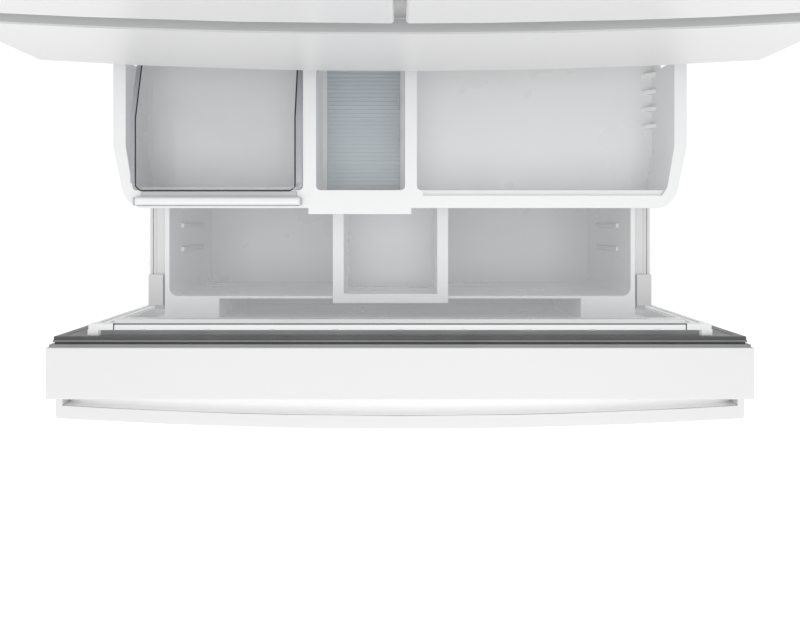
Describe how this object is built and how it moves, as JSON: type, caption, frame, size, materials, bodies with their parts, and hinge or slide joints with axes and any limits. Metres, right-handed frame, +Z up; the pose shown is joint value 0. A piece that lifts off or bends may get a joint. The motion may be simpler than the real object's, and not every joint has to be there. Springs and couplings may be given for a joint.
{
  "type": "french door refrigerator",
  "caption": "French door refrigerator with a shut middle drawer and an open bottom freezer drawer that holds stacked baskets and an ice bin.",
  "frame": {"origin": "centre of the rest pose's footprint box, on the floor", "axes": "+Z up, -Y the front with the doors and drawers, +X the right side seen from the front"},
  "size_m": [0.905, 1.3306, 1.778],
  "materials": {
    "white_steel": "gloss",
    "case_paint": "fine textured gloss",
    "plain_steel": "galvanised",
    "zinc_steel": "zinc plated",
    "foam": "matt",
    "liner_plastic": "satin",
    "basket_plastic": "satin",
    "clear_plastic": "clear",
    "shelf_glass": "clear",
    "grey_plastic": "matt",
    "gasket_rubber": "matt",
    "coil_aluminium": "mill",
    "black_paint": "gloss",
    "wire_steel": "bright"
  },
  "bodies": {
    "cabinet": {"case_wrapper": "case_paint", "back_panel": "plain_steel", "base_frame": "plain_steel", "cabinet_foam": "foam", "fridge_liner": "liner_plastic", "middle_liner": "liner_plastic", "freezer_liner": "liner_plastic", "mullion_plates": "case_paint", "machine_cover": "plain_steel", "toe_grille": "grey_plastic", "door_hinges": "zinc_steel", "hinge_covers": "liner_plastic", "glass_shelves": "shelf_glass", "shelf_frames": "grey_plastic", "left_crisper": "clear_plastic", "right_crisper": "clear_plastic", "air_duct": "liner_plastic", "evaporator": "coil_aluminium", "evaporator_cover": "liner_plastic", "compressor": "black_paint", "condenser": "coil_aluminium", "drain_pan": "plain_steel", "ice_maker": "basket_plastic", "control_panel": "liner_plastic", "light_lens": "clear_plastic", "levelling_legs": "grey_plastic", "freezer_slide_tracks": "zinc_steel", "middle_slide_tracks": "zinc_steel", "basket_tracks": "liner_plastic"},
    "left_door": {"left_door_skin": "white_steel", "left_door_liner": "liner_plastic", "left_door_gasket": "gasket_rubber", "left_door_bins": "clear_plastic"},
    "right_door": {"right_door_skin": "white_steel", "right_door_liner": "liner_plastic", "right_door_gasket": "gasket_rubber", "right_door_bins": "clear_plastic"},
    "mullion_flap": {"mullion_flap": "liner_plastic"},
    "middle_drawer": {"middle_drawer_skin": "white_steel", "middle_drawer_liner": "liner_plastic", "middle_drawer_gasket": "gasket_rubber", "middle_drawer_bin": "basket_plastic", "middle_drawer_rails": "zinc_steel"},
    "middle_slide": {"middle_slide_members": "zinc_steel"},
    "freezer_drawer": {"freezer_door_skin": "white_steel", "freezer_door_liner": "liner_plastic", "freezer_door_gasket": "gasket_rubber", "freezer_rails": "zinc_steel", "lower_basket": "basket_plastic", "basket_tray": "basket_plastic"},
    "freezer_slide": {"freezer_slide_members": "zinc_steel"},
    "upper_basket": {"upper_basket": "basket_plastic", "basket_floor": "clear_plastic", "ice_bin": "clear_plastic"},
    "evaporator_fan": {"evaporator_fan": "grey_plastic"},
    "condenser_fan": {"condenser_fan": "grey_plastic"},
    "ice_level_arm": {"ice_level_arm": "wire_steel"},
    "temp_button": {"temp_button": "liner_plastic"},
    "front_rollers": {"front_rollers": "grey_plastic"},
    "rear_rollers": {"rear_rollers": "grey_plastic"}
  },
  "joints": [
    {"name": "left_door_hinge", "type": "hinge", "parent": "cabinet", "child": "left_door", "pos_m": [-0.43, -0.11995, 0.85], "axis": [0, 0, -1], "range_deg": [0, 115]},
    {"name": "right_door_hinge", "type": "hinge", "parent": "cabinet", "child": "right_door", "pos_m": [0.43, -0.11995, 0.85], "axis": [0, 0, 1], "range_deg": [0, 115]},
    {"name": "mullion_fold", "type": "hinge", "parent": "left_door", "child": "mullion_flap", "pos_m": [-0.026, -0.07195, 1.285], "axis": [0, 0, 1], "range_deg": [-0.1, 90.1]},
    {"name": "middle_drawer_slide", "type": "slide", "parent": "cabinet", "child": "middle_drawer", "axis": [0, -1, 0], "range_m": [0, 0.4]},
    {"name": "middle_slide_extend", "type": "slide", "parent": "cabinet", "child": "middle_slide", "axis": [0, -1, 0], "range_m": [-0.0002, 0.2002]},
    {"name": "freezer_drawer_slide", "type": "slide", "parent": "cabinet", "child": "freezer_drawer", "axis": [0, -1, 0], "range_m": [-0.4605, 0]},
    {"name": "freezer_slide_extend", "type": "slide", "parent": "cabinet", "child": "freezer_slide", "axis": [0, -1, 0], "range_m": [-0.23045, 0.0002]},
    {"name": "upper_basket_slide", "type": "slide", "parent": "cabinet", "child": "upper_basket", "axis": [0, -1, 0], "range_m": [-0.3302, 0.0002]},
    {"name": "evaporator_fan_spin", "type": "hinge", "parent": "cabinet", "child": "evaporator_fan", "pos_m": [0, 0.44, 0.485], "axis": [0, -1, 0], "continuous": true},
    {"name": "condenser_fan_spin", "type": "hinge", "parent": "cabinet", "child": "condenser_fan", "pos_m": [0.005, 0.545, 0.165], "axis": [1, 0, 0], "continuous": true},
    {"name": "ice_arm_swing", "type": "hinge", "parent": "cabinet", "child": "ice_level_arm", "pos_m": [-0.248, 0.235, 0.5], "axis": [-1, 0, 0], "range_deg": [0, 40]},
    {"name": "temp_button_press", "type": "slide", "parent": "cabinet", "child": "temp_button", "axis": [0, 1, 0], "range_m": [0, 0.002], "stiffness_N_per_m": 500},
    {"name": "front_roller_spin", "type": "hinge", "parent": "cabinet", "child": "front_rollers", "pos_m": [0, 0.01, 0.025], "axis": [1, 0, 0], "continuous": true},
    {"name": "rear_roller_spin", "type": "hinge", "parent": "cabinet", "child": "rear_rollers", "pos_m": [0, 0.61, 0.026], "axis": [1, 0, 0], "continuous": true}
  ],
  "couplings": [
    {"joint": "mullion_fold", "follows": "left_door_hinge", "ratio": 0.7826},
    {"joint": "middle_slide_extend", "follows": "middle_drawer_slide", "ratio": 0.5},
    {"joint": "freezer_slide_extend", "follows": "freezer_drawer_slide", "ratio": 0.5},
    {"joint": "upper_basket_slide", "follows": "freezer_drawer_slide", "ratio": 0.71661}
  ]
}
